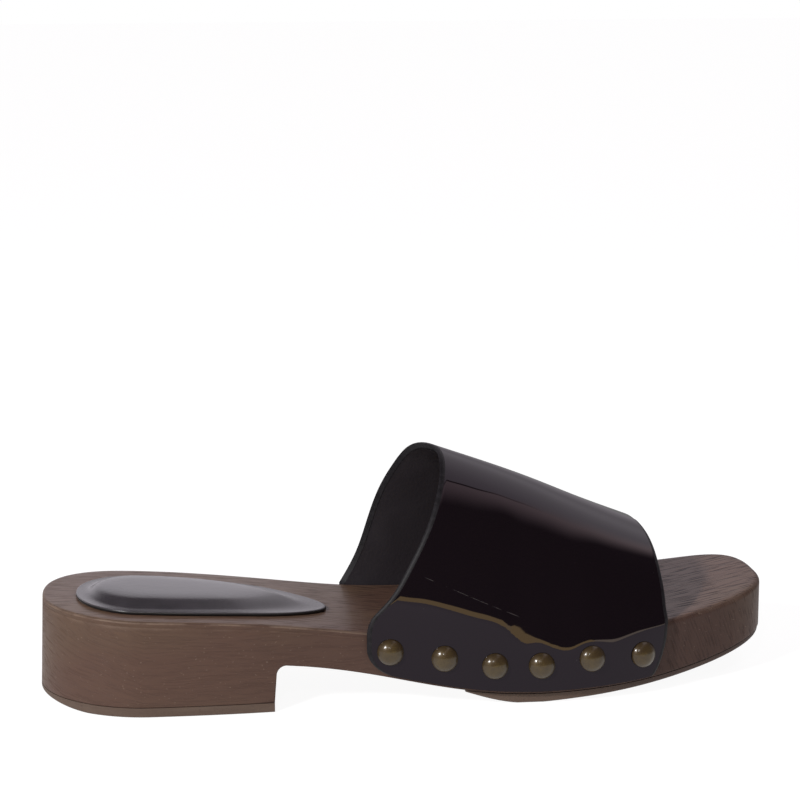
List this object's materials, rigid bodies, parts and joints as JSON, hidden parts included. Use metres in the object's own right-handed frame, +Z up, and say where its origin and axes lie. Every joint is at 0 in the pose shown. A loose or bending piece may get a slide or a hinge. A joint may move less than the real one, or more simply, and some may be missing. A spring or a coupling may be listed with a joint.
{
  "type": "clog mule",
  "caption": "Backless open-toed clog mule: a wooden sole with a low block heel and one broad patent leather strap, scooped at the instep and nailed to the sole's sides.",
  "frame": {"origin": "on the floor, under the middle of the shoe's box", "axes": "+X to the toe, +Y to the inner (medial) side, +Z up"},
  "size_m": [0.257, 0.0984, 0.0832],
  "materials": {
    "wood": "dark brown stain, satin, with fine open grain",
    "rubber": "matt brown sole rubber",
    "patent_leather": "black patent, high gloss",
    "pad_leather": "dark grey, soft sheen",
    "antique_brass": "antique brass, burnished"
  },
  "bodies": {
    "root": {"sole": "wood", "heel_top_piece": "rubber", "forefoot_tread": "rubber", "strap": "patent_leather", "heel_pad": "pad_leather", "nail_lateral_1": "antique_brass", "nail_lateral_2": "antique_brass", "nail_lateral_3": "antique_brass", "nail_lateral_4": "antique_brass", "nail_lateral_5": "antique_brass", "nail_lateral_6": "antique_brass", "nail_medial_1": "antique_brass", "nail_medial_2": "antique_brass", "nail_medial_3": "antique_brass", "nail_medial_4": "antique_brass", "nail_medial_5": "antique_brass", "nail_medial_6": "antique_brass"}
  },
  "joints": []
}
